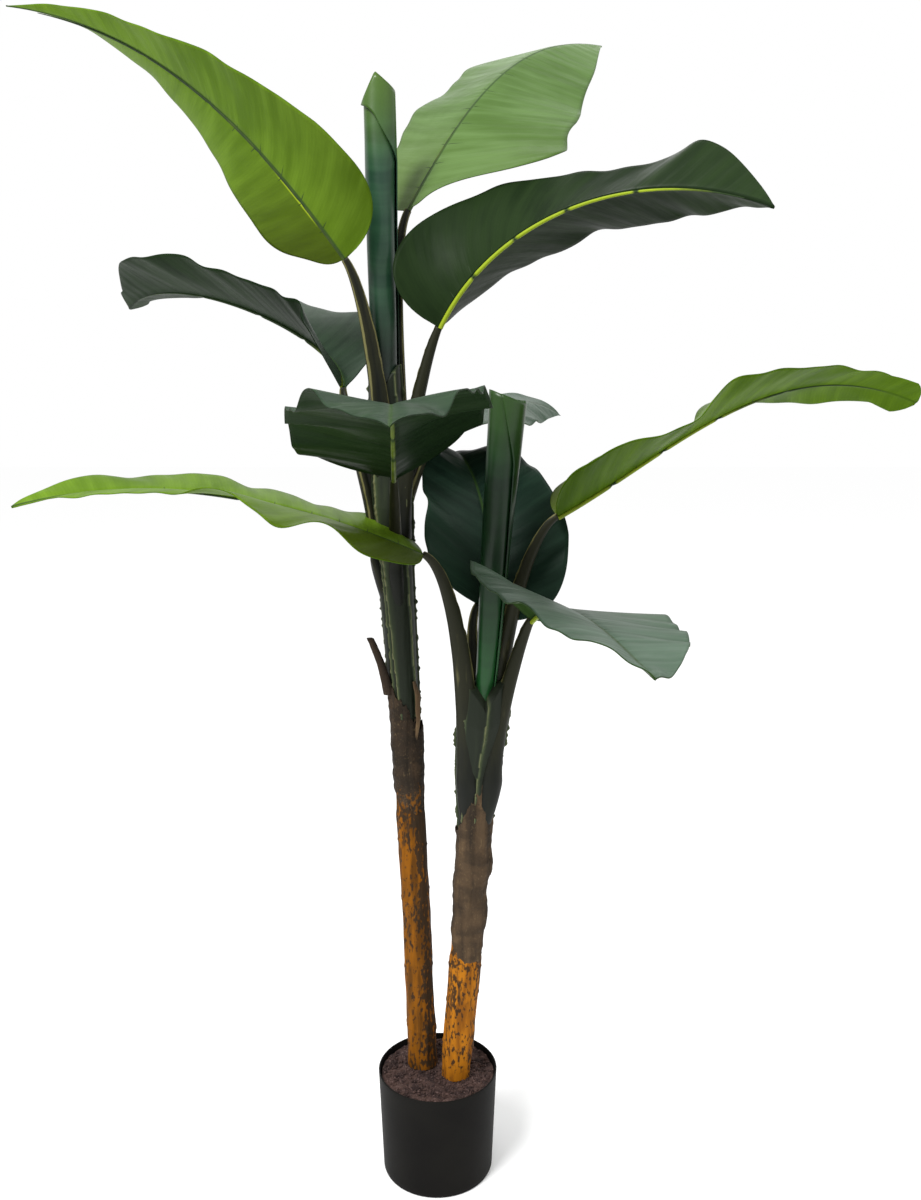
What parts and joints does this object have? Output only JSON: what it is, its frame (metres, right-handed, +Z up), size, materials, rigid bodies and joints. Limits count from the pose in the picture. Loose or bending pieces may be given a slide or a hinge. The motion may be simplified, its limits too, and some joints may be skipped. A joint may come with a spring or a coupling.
{
  "type": "artificial banana plant in a pot",
  "caption": "Artificial banana plant: leaning wrapped stems in a small round pot, carrying broad arching paddle leaves on stalks and upright rolled young leaves.",
  "frame": {"origin": "centre of the pot's flat underside", "axes": "+Z up the stems, -Y towards the front, +X towards the side the shorter stem leans to"},
  "size_m": [1.1665, 1.112, 1.6222],
  "materials": {
    "pot": "matt charcoal moulded plastic",
    "potting_fill": "rough crumbly cement dressed as soil",
    "bark": "fibrous orange-brown wrap with dark patches",
    "sheath": "coarse brown fibre wrap",
    "stem": "dark green ridged leaf bases",
    "stalk": "satin olive brown",
    "rolled_leaf": "satin coated leaf fabric",
    "young_leaf": "satin coated leaf fabric",
    "mature_leaf": "satin coated leaf fabric"
  },
  "bodies": {
    "root": {"pot": "pot", "potting_fill": "potting_fill", "tall_trunk": "bark", "short_trunk": "bark", "tall_stem": "stem", "short_stem": "stem", "tall_sheath": "sheath", "short_sheath": "sheath", "tall_cut_stalk": "sheath", "tall_rolled_leaf": "rolled_leaf", "short_rolled_leaf": "rolled_leaf", "tall_stalk_upper_left": "stalk", "tall_stalk_upper_right": "stalk", "tall_stalk_right": "stalk", "tall_stalk_left": "stalk", "tall_stalk_front": "stalk", "tall_stalk_back": "stalk", "short_stalk_left": "stalk", "short_stalk_right": "stalk", "short_stalk_back": "stalk", "short_stalk_front": "stalk", "tall_leaf_upper_left": "young_leaf", "tall_leaf_upper_right": "young_leaf", "tall_leaf_right": "mature_leaf", "tall_leaf_left": "mature_leaf", "tall_leaf_front": "mature_leaf", "tall_leaf_back": "mature_leaf", "short_leaf_left": "young_leaf", "short_leaf_right": "young_leaf", "short_leaf_back": "mature_leaf", "short_leaf_front": "mature_leaf"}
  },
  "joints": []
}
